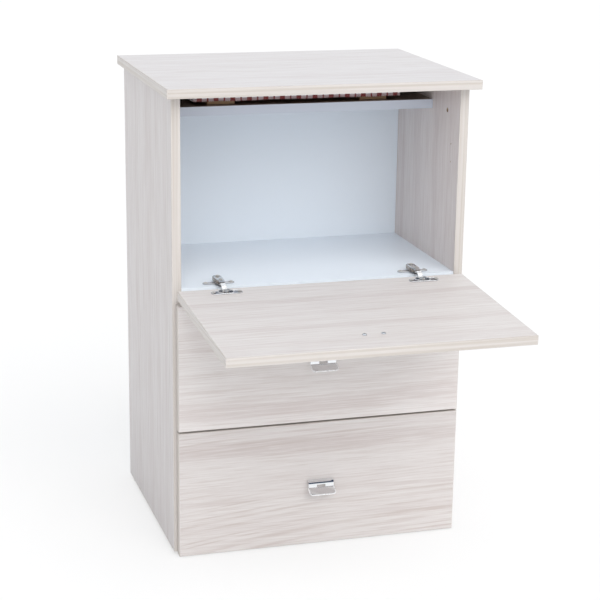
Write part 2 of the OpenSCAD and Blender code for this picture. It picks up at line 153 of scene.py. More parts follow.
# ---------------------------------------------------------------- camera and light

CAMERA_AT = Vector((-0.8677, -2.7908, 1.2513))
CAMERA_YAW = 0.29328
CAMERA_PITCH = 0.29634
CAMERA_ROLL = 0.01438
CAMERA_LENS = 103.53
CAMERA_SENSOR = 36
CAMERA_SHIFT = (-0.0021, 0.0769)
CAMERA_REACH = 50
ROOM_COLOUR = (0.95, 0.975, 1.0)
DARK_COLOUR = (0.05, 0.07, 0.12)
WORLD_STRENGTH = 0.80
LAMP_STRENGTH = 1.4
FLOOR_GLOW = 0.6


def make_camera():
    """A long lens from the front left, a little above the top. Its shift keeps the uprights steep."""
    forward = Vector((math.sin(CAMERA_YAW) * math.cos(CAMERA_PITCH),
                      math.cos(CAMERA_YAW) * math.cos(CAMERA_PITCH),
                      -math.sin(CAMERA_PITCH)))
    level_right = Vector((math.cos(CAMERA_YAW), -math.sin(CAMERA_YAW), 0))
    level_up = level_right.cross(forward)
    right = math.cos(CAMERA_ROLL) * level_right + math.sin(CAMERA_ROLL) * level_up
    up = math.cos(CAMERA_ROLL) * level_up - math.sin(CAMERA_ROLL) * level_right
    turn = Matrix((right, up, -forward)).transposed().to_4x4()
    data = bpy.data.cameras.new("camera")
    data.lens = CAMERA_LENS
    data.sensor_width = CAMERA_SENSOR
    data.shift_x, data.shift_y = CAMERA_SHIFT
    data.clip_end = CAMERA_REACH
    camera = bpy.data.objects.new("camera", data)
    camera.matrix_world = Matrix.Translation(CAMERA_AT) @ turn
    bpy.context.scene.collection.objects.link(camera)
    bpy.context.scene.camera = camera


def sun_light(name, towards, strength, spread, colour=(1, 1, 1)):
    data = bpy.data.lights.new(name, "SUN")
    data.energy = strength
    data.angle = math.radians(spread)
    data.color = colour
    light = bpy.data.objects.new(name, data)
    light.rotation_euler = Vector(towards).to_track_quat("Z", "Y").to_euler()
    light.visible_glossy = False
    bpy.context.scene.collection.objects.link(light)


def make_world():
    """An even white room. Only reflections see a dark stretch in front and a bright lamp overhead."""
    world = bpy.data.worlds.new("studio")
    bpy.context.scene.world = world
    world.use_nodes = True
    world.node_tree.nodes.clear()
    s = Nodes(world.node_tree)
    towards = s.split(s.add("ShaderNodeTexCoord").outputs["Generated"])
    height = s.ramp(towards["Z"], (0.10, 0), (0.20, 1), (0.78, 1), (0.86, 0))
    in_front = s.between(towards["Y"], 0.15, -0.15)
    overhead = s.between(towards["Z"], 0.80, 0.88)
    path = s.add("ShaderNodeLightPath").outputs
    mirrored = s.times(s.times(height, in_front), path["Is Glossy Ray"])
    tint = s.blend(mirrored, ROOM_COLOUR, DARK_COLOUR)
    lamp = s.times(overhead, path["Is Glossy Ray"])
    strength = s.math("MULTIPLY_ADD", lamp, LAMP_STRENGTH, WORLD_STRENGTH)
    lit = s.add("ShaderNodeBackground", {"Color": tint, "Strength": strength})
    seen = s.add("ShaderNodeBackground", {"Color": (1, 1, 1, 1)})
    mix = s.add("ShaderNodeMixShader", {0: path["Is Camera Ray"], 1: lit.outputs[0], 2: seen.outputs[0]})
    s.add("ShaderNodeOutputWorld", {"Surface": mix.outputs[0]})


# ---------------------------------------------------------------- materials

ASH_PALE = (0.662, 0.630, 0.618)
ASH_TAUPE = (0.580, 0.528, 0.517)
ASH_LINE = (0.520, 0.455, 0.432)
ASH_LIGHT = (0.735, 0.712, 0.700)
FLAT_BOARDS = ("ash_top", "ash_flap")


def ash(name, axis, shift, streaks=(), rings=None, bands=0.5, tone=(1, 1, 1)):
    """Bleached ash laminate: taupe bands, flowing growth rings, and fine fibres along the grain.

    A streak is (place across the grain, half its width, share). rings is (place along, place across,
    squeeze, strength): the growth rings' centre, and how far they are drawn out along the grain.
    """
    s = Shader(name, ASH_PALE, 0.42)
    place = s.along(axis)
    parts = s.split(place)
    along, across = parts["X"], parts["Y" if name in FLAT_BOARDS else "Z"]
    wander = s.times(s.minus(s.noise(place, (2.2, 9, 9), shift), 0.5), 0.045)
    swayed = s.plus(across, wander)
    broad = s.noise(place, (0.8, 26, 26), shift, detail=3, roughness=0.6)
    patch = s.noise(place, (2.6, 12, 12), shift, detail=1)
    share = s.ramp(broad, (0.47, 0.0), (0.70, bands))
    for centre, half, strength in streaks:
        off = s.math("ABSOLUTE", s.minus(swayed, centre))
        streak = s.ramp(s.math("DIVIDE", off, half * 2), (0.30, strength), (0.62, 0.0))
        share = s.math("MAXIMUM", share, streak)
    share = s.times(share, s.ramp(patch, (0.30, 0.55), (0.62, 1.0)))
    colour = s.blend(share, ASH_PALE, ASH_TAUPE)
    if rings:
        at_along, at_across, squeeze, strength = rings
        run = s.times(s.minus(along, at_along), squeeze)
        rise = s.minus(s.plus(across, s.times(wander, 0.35)), at_across)
        reach = s.math("SQRT", s.plus(s.times(run, run), s.times(rise, rise)))
        uneven = s.noise(s.add("ShaderNodeCombineXYZ", {"X": s.times(reach, 60)}).outputs[0], 1)
        turns = s.plus(s.times(reach, 560), s.times(uneven, 16))
        wave = s.math("MULTIPLY_ADD", s.math("SINE", turns), 0.5, 0.5)
        broken = s.noise(place, (5, 90, 90), shift)
        seen = s.times(s.ramp(patch, (0.40, 0.0), (0.62, 1.0)), s.ramp(broken, (0.38, 0.15), (0.60, 1.0)))
        line = s.times(s.ramp(wave, (0.66, 0.0), (0.97, strength)), seen)
        colour = s.blend(line, colour, ASH_LINE)
    fibre = s.noise(place, (9, 380, 380), shift, detail=4, roughness=0.7)
    pores = s.noise(place, (26, 1900, 1900), shift, detail=1)
    colour = s.blend(s.ramp(fibre, (0.50, 0.0), (0.64, 0.50)), colour, ASH_LINE)
    colour = s.blend(s.ramp(fibre, (0.36, 0.50), (0.49, 0.0)), colour, ASH_LIGHT)
    colour = s.blend(s.ramp(pores, (0.58, 0.0), (0.80, 0.22)), colour, ASH_LINE)
    # tone multiplies the whole colour: painted light and shade, a lighter or darker copy of the laminate for
    # each board as the light falls on it.
    colour = s.blend(1.0, colour, tone, "MULTIPLY")
    rough = s.ramp(fibre, (0.3, 0.36), (0.7, 0.50))
    return s.finish(colour, rough, s.bump(fibre, 0.00005, 0.5, s.bump(pores, 0.00002, 0.4)))


def ash_band(name, axis, shift):
    """Edge banding: creamier, with a few fine lines along its length."""
    s = Shader(name, (0.68, 0.63, 0.575), 0.40)
    place = s.along(axis)
    lines = s.noise(place, (2.0, 300, 300), shift, roughness=0.6)
    fine = s.noise(place, (14, 1300, 1300), shift, detail=1)
    colour = s.blend(s.ramp(lines, (0.40, 0.0), (0.66, 1.0)), (0.585, 0.552, 0.530), (0.500, 0.458, 0.420))
    colour = s.blend(s.ramp(fine, (0.54, 0.0), (0.80, 0.30)), colour, (0.52, 0.455, 0.385))
    return s.finish(colour, s.ramp(fine, (0.3, 0.34), (0.7, 0.46)), s.bump(lines, 0.00004, 0.5))


def melamine(name="white_melamine", colour=(0.790, 0.850, 0.915)):
    """White faced board: an even cool white with a faint orange-peel emboss."""
    s = Shader(name, colour, 0.36)
    peel = s.noise(s.place, 900, roughness=0.6)
    cloud = s.noise(s.place, 3)
    tone = s.blend(s.ramp(cloud, (0.35, 0.0), (0.65, 0.5)), colour, tuple(c * 0.97 for c in colour))
    return s.finish(tone, s.ramp(peel, (0.3, 0.30), (0.7, 0.42)), s.bump(peel, 0.00002, 0.35))


def chipboard():
    """Raw particle board, seen on cut edges that have no band."""
    s = Shader("chipboard", (0.42, 0.31, 0.20), 0.85)
    chips = s.add("ShaderNodeTexVoronoi", {"Vector": s.place, "Scale": 620, "Randomness": 1.0})
    dust = s.noise(s.place, 1500)
    grey = s.add("ShaderNodeRGBToBW", {0: chips.outputs["Color"]}).outputs[0]
    colour = s.ramp(grey, (0.1, (0.26, 0.17, 0.10)), (0.5, (0.45, 0.33, 0.21)), (0.9, (0.62, 0.49, 0.34)))
    colour = s.blend(s.ramp(dust, (0.4, 0.0), (0.7, 0.5)), colour, (0.34, 0.24, 0.15))
    return s.finish(colour, s.ramp(dust, (0.3, 0.8), (0.7, 0.95)), s.bump(grey, 0.0002, 0.6))


def metal(name, colour, low, high, brush, metallic=1.0):
    """Plated metal, its roughness from low to high in faint smears; brush is their number a metre."""
    s = Shader(name, colour, low, metallic=metallic)
    smear = s.noise(s.place, brush, detail=3, roughness=0.6)
    dust = s.noise(s.place, 1400, detail=1)
    tone = s.blend(s.ramp(smear, (0.4, 0.0), (0.7, 0.6)), colour, tuple(c * 0.93 for c in colour))
    return s.finish(tone, s.ramp(smear, (0.35, low), (0.7, high)), s.bump(dust, 0.000004, 0.4))


def plastic(name, colour):
    s = Shader(name, colour, 0.45)
    grain = s.noise(s.place, 1800)
    tone = s.blend(s.ramp(grain, (0.4, 0.0), (0.7, 0.4)), colour, tuple(c * 0.9 for c in colour))
    return s.finish(tone, s.ramp(grain, (0.3, 0.4), (0.7, 0.55)), s.bump(grain, 0.00003, 0.4))


def beech():
    """Bare beech, darkened by handling, with short flecks along X."""
    s = Shader("bare_beech", (0.38, 0.24, 0.13), 0.6)
    place = s.along("x")
    fleck = s.noise(place, (60, 700, 700))
    broad = s.noise(place, (2, 40, 40))
    colour = s.blend(s.ramp(broad, (0.35, 0.0), (0.65, 1.0)), (0.44, 0.285, 0.16), (0.33, 0.20, 0.11))
    colour = s.blend(s.ramp(fleck, (0.55, 0.0), (0.75, 0.5)), colour, (0.24, 0.135, 0.07))
    return s.finish(colour, s.ramp(fleck, (0.3, 0.55), (0.7, 0.7)), s.bump(fleck, 0.00005, 0.5))


THREADS = 7000


def cotton():
    """Printed cotton: dark red checks on off-white, with a plain weave."""
    s = Shader("printed_cotton", (0.72, 0.66, 0.64), 0.85)
    parts = s.split(s.place)
    x, down = parts["X"], s.plus(parts["Y"], parts["Z"])

    half = 0.015

    def stripes(value, share, shift=0.0):
        wave = s.math("PINGPONG", s.plus(value, shift), half)
        return s.math("LESS_THAN", wave, half * share)

    across, along = (s.math("MAXIMUM", stripes(way, 0.30), stripes(way, 0.10, half)) for way in (x, down))
    both = s.math("MAXIMUM", across, s.times(along, 0.6))
    weave = s.times(*(s.math("SINE", s.times(way, THREADS)) for way in (x, down)))
    lint = s.noise(s.place, 500, detail=3)
    colour = s.blend(both, (0.88, 0.88, 0.91), (0.20, 0.020, 0.018))
    colour = s.blend(s.ramp(lint, (0.45, 0.0), (0.75, 0.25)), colour, (0.62, 0.52, 0.52))
    normal = s.bump(weave, 0.00015, 0.5, s.bump(lint, 0.0003, 0.3))
    s.bsdf.inputs["Sheen Weight"].default_value = 0.25
    return s.finish(colour, s.ramp(lint, (0.3, 0.8), (0.7, 0.95)), normal)


def hardboard():
    s = Shader("lacquered_hardboard", (0.78, 0.78, 0.76), 0.5)
    fleck = s.noise(s.place, 260, detail=4, roughness=0.7)
    colour = s.blend(s.ramp(fleck, (0.45, 0.0), (0.75, 0.5)), (0.80, 0.80, 0.78), (0.66, 0.65, 0.62))
    return s.finish(colour, s.ramp(fleck, (0.3, 0.42), (0.7, 0.6)), s.bump(fleck, 0.00004, 0.4))


def floor_paint():
    """White paper. The camera sees it brighter than it lights the object, so its shadow stays faint."""
    s = Shader("floor_paint", (0.90, 0.90, 0.90), 0.9)
    s.bsdf.inputs["Specular IOR Level"].default_value = 0.0
    cloud = s.noise(s.place, 2)
    material = s.finish(s.ramp(cloud, (0.3, (0.86, 0.86, 0.865)), (0.7, (0.87, 0.87, 0.87))))
    seen = s.times(s.add("ShaderNodeLightPath").outputs["Is Camera Ray"], FLOOR_GLOW)
    glow = s.add("ShaderNodeEmission", {"Color": (1, 1, 1, 1), "Strength": 1.0})
    mix = s.add("ShaderNodeMixShader", {0: seen, 1: s.bsdf.outputs[0], 2: glow.outputs[0]})
    s.feed(s.tree.nodes["Material Output"].inputs["Surface"], mix.outputs[0])
    return material


# ---------------------------------------------------------------- mesh helpers


def loose(name, mesh):
    made = bpy.data.objects.new(name, mesh)
    bpy.context.scene.collection.objects.link(made)
    return made


def add_object(name, mesh, body, slot, *materials):
    made = loose(name, mesh)
    for material in materials:
        mesh.materials.append(material)
    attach(made, body)
    return made


def mark_sharp(mesh, degrees=35):
    """Smooth faces, with the edges that turn by more than this kept sharp."""
    work = bmesh.new()
    work.from_mesh(mesh)
    bmesh.ops.recalc_face_normals(work, faces=work.faces)
    for face in work.faces:
        face.smooth = True
    for edge in work.edges:
        edge.smooth = len(edge.link_faces) == 2 and edge.calc_face_angle(0) < math.radians(degrees)
    work.to_mesh(mesh)
    work.free()
    return mesh


def mesh_from(name, points, faces):
    mesh = bpy.data.meshes.new(name)
    mesh.from_pydata([tuple(p) for p in points], [], faces)
    return mesh


def baked(holder):
    """The mesh of an object with its modifiers applied; the object itself is removed."""
    graph = bpy.context.evaluated_depsgraph_get()
    mesh = bpy.data.meshes.new_from_object(holder.evaluated_get(graph))
    bpy.data.objects.remove(holder)
    return mesh


def modify(holder, kind, **settings):
    modifier = holder.modifiers.new(kind.lower(), kind)
    for key, value in settings.items():
        setattr(modifier, key, value)


def round_edges(holder, width, segments, degrees, **settings):
    """A bevel on the edges that turn by more than so many degrees."""
    modify(holder, "BEVEL", width=width, segments=segments, limit_method="ANGLE",
           angle_limit=math.radians(degrees), **settings)


def bevelled(mesh, width):
    """A copy of the mesh with its sharp edges rounded."""
    holder = loose("to_bevel", mesh)
    round_edges(holder, width, 3, 40)
    return baked(holder)


def at(x, y, z):
    return Matrix.Translation((x, y, z))


def quarter_turn(axis, sign=1):
    return Matrix.Rotation(sign * math.pi / 2, 4, axis)


AS_IS = Matrix.Identity(4)
MIRROR = Matrix.Scale(-1, 4, (1, 0, 0))


def joined(name, pieces):
    """One mesh from several (mesh, matrix) pairs."""
    work = bmesh.new()
    for mesh, matrix in pieces:
        before = len(work.verts)
        work.from_mesh(mesh)
        work.verts.ensure_lookup_table()
        bmesh.ops.transform(work, matrix=matrix, verts=work.verts[before:])
    made = bpy.data.meshes.new(name)
    work.to_mesh(made)
    work.free()
    return made


def marked(mesh, slot=1, chosen=lambda polygon: True):
    """Gives polygons one of an object's further materials."""
    for polygon in mesh.polygons:
        if chosen(polygon):
            polygon.material_index = slot
    return mesh


def lathe(name, profile, steps=40, ring=False):
    """A turned piece round Z. The profile is (radius, height) points, from axis to axis or a closed ring."""
    points, faces, rings = [], [], []
    for radius, height in profile:
        if radius < 1e-9:
            rings.append([len(points)])
            points.append((0, 0, height))
            continue
        rings.append(list(range(len(points), len(points) + steps)))
        for k in range(steps):
            angle = 2 * math.pi * k / steps
            points.append((radius * math.cos(angle), radius * math.sin(angle), height))
    pairs = list(zip(rings, rings[1:]))
    if ring:
        pairs.append((rings[-1], rings[0]))
    for low, high in pairs:
        for k in range(steps):
            n = (k + 1) % steps
            quad = [low[k % len(low)], low[n % len(low)], high[n % len(high)], high[k % len(high)]]
            quad = list(dict.fromkeys(quad))
            if len(quad) > 2:
                faces.append(quad)
    return mesh_from(name, points, faces)


def rod(name, radius, low, high, steps=40):
    """A plain cylinder round Z."""
    return lathe(name, [(0, low), (radius, low), (radius, high), (0, high)], steps)


def prism(name, outline, low, high):
    """A flat piece: an (x, y) outline between two heights."""
    n = len(outline)
    points = [(x, y, low) for x, y in outline] + [(x, y, high) for x, y in outline]
    faces = [tuple(reversed(range(n))), tuple(range(n, 2 * n))]
    faces += [(k, (k + 1) % n, n + (k + 1) % n, n + k) for k in range(n)]
    return mesh_from(name, points, faces)


def oblong(half, front, back):
    """The outline of a plain bar along Y."""
    return [(-half, front), (half, front), (half, back), (-half, back)]


def capsule(half, radius, steps=14):
    """The outline of a bar along X with round ends."""
    ends = []
    for side, start in ((1, -90), (-1, 90)):
        for k in range(steps + 1):
            angle = math.radians(start + 180 * k / steps)
            ends.append((side * half + radius * math.cos(angle), radius * math.sin(angle)))
    return ends


def cut(mesh, *tools):
    """The mesh with the tools' shapes taken away."""
    holder = loose("to_cut", mesh)
    others = [loose("tool", tool) for tool in tools]
    for other in others:
        modify(holder, "BOOLEAN", operation="DIFFERENCE", solver="EXACT", object=other)
    made = baked(holder)
    for other in others:
        bpy.data.objects.remove(other)
    return made


def tube(name, path, radius, steps=12):
    """A round bar along 3-D points, with domed ends."""
    path = [Vector(p) for p in path]
    runs = [(b - a).normalized() for a, b in zip(path, path[1:])]
    headings = [runs[0], *[(a + b).normalized() for a, b in zip(runs, runs[1:])], runs[-1]]
    dome = [(math.sin(angle), radius * math.cos(angle)) for angle in map(math.radians, (25, 55, 85))]
    first, last = headings[0], headings[-1]
    rings = [(path[0] - first * radius * rise, first, wide) for rise, wide in reversed(dome)]
    rings += [(place, heading, radius) for place, heading in zip(path, headings)]
    rings += [(path[-1] + last * radius * rise, last, wide) for rise, wide in dome]
    side = first.orthogonal().normalized()
    points, faces = [], []
    for place, heading, wide in rings:
        side = (side - heading * side.dot(heading)).normalized()
        other = heading.cross(side)
        for k in range(steps):
            angle = 2 * math.pi * k / steps
            points.append(place + (side * math.cos(angle) + other * math.sin(angle)) * wide)
    for r in range(len(rings) - 1):
        for k in range(steps):
            n = (k + 1) % steps
            faces.append((r * steps + k, r * steps + n, (r + 1) * steps + n, (r + 1) * steps + k))
    faces += [tuple(reversed(range(steps))), tuple(range(len(points) - steps, len(points)))]
    return mesh_from(name, points, faces)


def bent_sheet(name, rows, thick, edge, skipped=lambda row, column: False):
    """Sheet metal from rows of 3-D points, given its thickness and rounded edges."""
    wide = len(rows[0])
    points = [p for row in rows for p in row]
    faces = []
    for r in range(len(rows) - 1):
        for c in range(wide - 1):
            if not skipped(r, c):
                k = r * wide + c
                faces.append((k, k + 1, k + wide + 1, k + wide))
    mesh = mesh_from(name, points, faces)
    work = bmesh.new()
    work.from_mesh(mesh)
    bmesh.ops.delete(work, geom=[v for v in work.verts if not v.link_faces], context="VERTS")
    work.to_mesh(mesh)
    work.free()
    holder = loose("to_thicken", mesh)
    modify(holder, "SOLIDIFY", thickness=thick, offset=0, use_even_offset=True)
    round_edges(holder, edge, 2, 50)
    return baked(holder)


def rounded_path(corners, steps=8):
    """Points along straight lines whose inner corners are arcs. A corner is (y, z, radius)."""
    path = [Vector(corners[0][:2])]
    for before, here, after in zip(corners, corners[1:], corners[2:]):
        corner, radius = Vector(here[:2]), here[2]
        back = (Vector(before[:2]) - corner).normalized()
        on = (Vector(after[:2]) - corner).normalized()
        half = back.angle(on) / 2
        reach = radius / math.tan(half)
        centre = corner + (back + on).normalized() * (radius / math.sin(half))
        start, end = corner + back * reach - centre, corner + on * reach - centre
        sweep = start.angle(end)
        for k in range(steps + 1):
            share = k / steps
            a = math.sin((1 - share) * sweep) / math.sin(sweep)
            b = math.sin(share * sweep) / math.sin(sweep)
            path.append(centre + start * a + end * b)
    path.append(Vector(corners[-1][:2]))
    return path


# ---------------------------------------------------------------- boards


def paint(node, *materials):
    """Gives a CAD part these materials, the first of them everywhere."""
    mesh = NODES[node].data
    mesh.materials.clear()
    for material in materials:
        mesh.materials.append(material)
    return mesh


def face_board(node, face, thin):
    """A CAD board: faced with one material, raw chipboard at its cut edges. thin is its thin axis."""
    axis = "xyz".index(thin)
    for polygon in paint(node, face, CHIPS).polygons:
        polygon.material_index = 0 if abs(polygon.normal[axis]) > 0.7 else 1


def soften(node, width=0.4 * MM):
    """Rounds a plain CAD part's edges with modifiers; its own mesh stays as it is."""
    part = NODES[node]
    modify(part, "WELD", merge_threshold=1e-6)
    round_edges(part, width, 2, 40, harden_normals=True)


BAND = 1.0 * MM
BAND_ROUND = 0.8 * MM


def band_profile(thick):
    """(outward, up) points of a band's section, its two outer edges rounded."""
    core = BAND - BAND_ROUND
    arc = [(core + BAND_ROUND * math.sin(a), BAND_ROUND * (1 - math.cos(a)))
           for a in (math.pi / 2 * k / 4 for k in range(5))]
    return [(0, 0), *arc, *[(out, thick - up) for out, up in reversed(arc)], (0, thick)]


def strip(start, end, out, up, thick):
    """A straight band from start to end on the board's lower edge, growing along out and up."""
    start, end, out, up = map(Vector, (start, end, out, up))
    section = [out * a + up * b for a, b in band_profile(thick)]
    points = [start + p for p in section] + [end + p for p in section]
    n = len(section)
    sides = [(k, (k + 1) % n, n + (k + 1) % n, n + k) for k in range(n)]
    return points, sides + [tuple(reversed(range(n))), tuple(range(n, 2 * n))]


def bands(name, body, strips, node, matrix=AS_IS):
    """Edge bands of one board or group; a strip is (start, end, out, up, thick)."""
    points, faces, kinds = [], [], []
    for start, end, out, up, thick in strips:
        more, sides = strip(start, end, out, up, thick)
        faces += [tuple(i + len(points) for i in face) for face in sides]
        points += more
        run = Vector(end) - Vector(start)
        kinds += [max(range(3), key=lambda i: abs(run[i]))] * len(sides)
    mesh = mesh_from(name, [matrix @ Vector(p) for p in points], faces)
    for polygon, kind in zip(mesh.polygons, kinds):
        polygon.material_index = kind
    mark_sharp(mesh, 50)
    made = add_object(name, mesh, body, "edge_band", *BAND_MATERIALS)
    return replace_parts(made, node)


def frame_strips(low, high, thin):
    """Four strips round a board that fills the box from low to high, seen along its thin axis."""
    low, high = Vector(low), Vector(high)
    t = "xyz".index(thin)
    a, b = [i for i in range(3) if i != t]
    up = Vector((0, 0, 0))
    up[t] = 1
    made = []
    for run, across, trim in ((b, a, 0), (a, b, BAND)):
        for side, edge in ((-1, low[across] + BAND), (1, high[across] - BAND)):
            out = Vector((0, 0, 0))
            out[across] = side
            start = low.copy()
            start[run] += trim
            start[across] = edge
            end = start.copy()
            end[run] = high[run] - trim
            made.append((start, end, out, up, high[t] - low[t]))
    return made


# The flap's space: its origin on the rear edge of the upper face, its board below and towards -Y.
BOARD = 16 * MM
FLOOR_Z = 487 * MM
FLAP_DROOP = math.radians(3)
FLAP_LENGTH = 333.5 * MM
FLAP_SPACE = at(0, -42 * MM, FLOOR_Z) @ Matrix.Rotation(FLAP_DROOP, 4, "X")

make_camera()
make_world()
bpy.context.scene.view_settings.view_transform = "Standard"

CHIPS = chipboard()
WHITE = melamine()
# The shelf's grey-blue front edge is painted shade under the top's overhang.
SHELF_EDGE_PAINTED_SHADE = melamine("shelf_edge_painted_shade", (0.60, 0.65, 0.74))
# The shelf's dark brown top is painted shade in the gap under the stowed board.
SHELF_TOP_PAINTED_SHADE = melamine("shelf_top_painted_shade", (0.16, 0.11, 0.08))
CHROME = metal("polished_chrome", (0.87, 0.89, 0.91), 0.04, 0.09, 90)
# A half-diffuse near-white metal that looks bright from every side: a painted highlight, on the pull's bead
# and the hinge links.
PAINTED_HIGHLIGHT_METAL = metal("bright_rim", (0.93, 0.94, 0.95), 0.24, 0.32, 90, metallic=0.35)
NICKEL = metal("bright_nickel", (0.90, 0.89, 0.87), 0.10, 0.18, 120)
# Nickel darkened to mid-grey on the hinge flanges: a painted dark reflection.
EAR_FACE_PAINTED_REFLECTION = metal("nickel_ear_painted_dark_reflection", (0.38, 0.38, 0.40), 0.22, 0.32, 120)
# Half-diffuse near-white nickel on the hinge lips and cup rim: a painted highlight.
EAR_RIM_PAINTED_HIGHLIGHT = metal("bright_nickel_rim", (0.93, 0.93, 0.94), 0.14, 0.22, 120, metallic=0.5)
HEAD_NICKEL = metal("satin_nickel_head", (0.60, 0.58, 0.55), 0.30, 0.40, 120, metallic=0.6)
# A darker brownish copy of the nickel for the arm's cheeks and underside: painted shade.
ARM_SIDE_PAINTED_SHADE = metal("nickel_painted_shade", (0.36, 0.31, 0.27), 0.22, 0.34, 120)
ZINC = metal("bright_zinc", (0.62, 0.65, 0.68), 0.26, 0.42, 40)
PLASTIC = plastic("white_plastic", (0.80, 0.80, 0.77))
BEECH = beech()
COTTON = cotton()
HARDBOARD = hardboard()
BAND_MATERIALS = [ash_band(f"band_along_{axis}", axis, shift)
                  for axis, shift in (("x", (0.3, 0.1, 0.2)), ("y", (0.7, 0.2, 0.4)), ("z", (0.1, 0.5, 0.3)))]

floor_mesh = mesh_from("floor", [(-30, -30, 0), (30, -30, 0), (30, 30, 0), (-30, 30, 0)], [(0, 1, 2, 3)])
floor_mesh.materials.append(floor_paint())
floor = loose("floor", floor_mesh)
sun_light("front_light", (0.14, -0.72, 0.74), 1.85, 55, (1.0, 0.98, 0.955))
sun_light("low_fill", (-0.35, -0.88, 0.25), 0.52, 60)


def dress_boards():
    # The top's cool tone is a painted sky reflection.
    face_board("top_panel", ash("ash_top", "x", (0.2, 0.7, 0.3), bands=0.35, tone=(0.98, 1, 1.03),
                                streaks=[(0.05, 0.012, 0.4), (0.26, 0.02, 0.35)]), "z")
    face_board("flap_panel", ash("ash_flap", "x", (1.1, 0.3, 0.9), bands=0.35,
                                 rings=(0.35, 0.25, 0.16, 0.16),
                                 streaks=[(-0.125, 0.010, 0.85), (-0.19, 0.006, 0.5), (-0.26, 0.012, 0.7),
                                          (-0.335, 0.006, 0.5)]), "z")
    face_board("upper_front", ash("ash_upper_front", "x", (2.3, 1.7, 0.5), bands=0.45,
                                  rings=(-0.45, 0.62, 0.16, 0.20),
                                  streaks=[(0.268, 0.017, 0.9), (0.375, 0.004, 0.6), (0.400, 0.004, 0.6),
                                           (0.425, 0.003, 0.5)]), "y")
    # The lower front's tone darkens it: painted shade.
    face_board("lower_front", ash("ash_lower_front", "x", (4.1, 0.9, 2.5), bands=0.45,
                                  tone=(0.89, 0.885, 0.885), rings=(0.34, -0.12, 0.20, 0.80),
                                  streaks=[(0.190, 0.015, 0.95), (0.105, 0.004, 0.6),
                                           (0.055, 0.004, 0.5)]), "y")
    # The left side's tone darkens it: painted shade on the side turned from the main light.
    face_board("left_side", ash("ash_left", "z", (0.9, 2.2, 1.4), bands=0.6, tone=(0.895, 0.89, 0.90),
                                streaks=[(0.02, 0.008, 0.5), (0.16, 0.02, 0.45), (0.27, 0.01, 0.5)]), "x")
    # The right side's tone lightens it: painted light on its shaded inner face.
    face_board("right_side", ash("ash_right", "z", (3.3, 1.1, 0.8), bands=0.9, tone=(1.10, 1.05, 1.03),
                                 streaks=[(0.245, 0.007, 1.0), (0.17, 0.015, 0.6), (0.08, 0.010, 0.7),
                                          (0.02, 0.005, 0.6)]), "x")
    face_board("rear_rail", ash("ash_rail", "x", (5.0, 0.4, 0.2)), "y")
    for node in ("compartment_floor", "stow_shelf", "bottom_panel", "back_panel"):
        paint(node, WHITE)
        soften(node)
    # The shelf's front edge and top take the painted shade; the rest is white.
    for polygon in paint("stow_shelf", WHITE, SHELF_EDGE_PAINTED_SHADE, SHELF_TOP_PAINTED_SHADE).polygons:
        polygon.material_index = 1 if polygon.normal.y < -0.7 else 2 if polygon.normal.z > 0.9 else 0
    for drawer in ("lower", "upper"):
        for part in ("left_side", "right_side", "back"):
            paint(f"{drawer}_{part}", WHITE)
            soften(f"{drawer}_{part}")
        paint(f"{drawer}_bottom", HARDBOARD)
        for part in ("slide_rails", "cams", "corner_screws", "rail_screws"):
            paint(f"{drawer}_{part}", ZINC)
    for material, nodes in ((ZINC, ("slide_channels", "slide_channel_screws", "cam_locks", "hinge_pins")),
                            (PLASTIC, ("glides", "ball_cages_lower", "ball_cages_upper")),
                            (NICKEL, ("balls_lower", "balls_upper")),
                            (BEECH, ("dowels", "stow_board_core", "stow_board_battens"))):
        for node in nodes:
            paint(node, material)


# The top's left band is in two lengths.
BUTT = 148 * MM
BUTT_GAP = 0.3 * MM


def dress_bands():
    """Rounded strips in place of every CAD band."""
    for drawer in ("lower", "upper"):
        node = f"{drawer}_edge_bands"
        bands(f"{drawer}_front_bands", f"{drawer}_drawer", frame_strips(*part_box(node), "y"), node)
    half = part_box("lower_edge_bands")[1].x
    strips = frame_strips((-half, -FLAP_LENGTH, -BOARD), (half, 0, 0), "z")
    bands("flap_bands", "flap", strips, "flap_edge_bands", FLAP_SPACE)
    low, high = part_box("carcass_edge_bands")
    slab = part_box("top_panel")
    top = frame_strips((low.x, low.y, slab[0].z), (high.x, high.y, high.z), "z")
    start, end, *rest = top[0]
    joint = start + Vector((0, BUTT, 0))
    top[0] = (start, joint, *rest)
    top.append((joint + Vector((0, BUTT_GAP, 0)), end, *rest))
    for side in ("left_side", "right_side"):
        a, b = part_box(side)
        top.append(((a.x, a.y, a.z), (a.x, a.y, b.z), (0, -1, 0), (1, 0, 0), b.x - a.x))
    bands("carcass_bands", "carcass", top, "carcass_edge_bands")


# ---------------------------------------------------------------- handles and screws

# A pull's two screws, and a hinge's middle on either side.
SCREW_XS = (-16 * MM, 16 * MM)
HINGE_X = 177 * MM

# A hinge: its ear screws' distance from the middle, its plate's ends, its lips, and its link's pin.
EAR = 22.5 * MM
EAR_END = 5.5 * MM
EAR_BEAD = 0.75 * MM
PIN = Vector((0, -37 * MM, 493.5 * MM))

# The plate's screws on the floor, the cup's middle in the flap, and the flange's screws from there.
PLATE_Y = -6 * MM
CUP_Y = -17 * MM
FLANGE_Y = -6 * MM


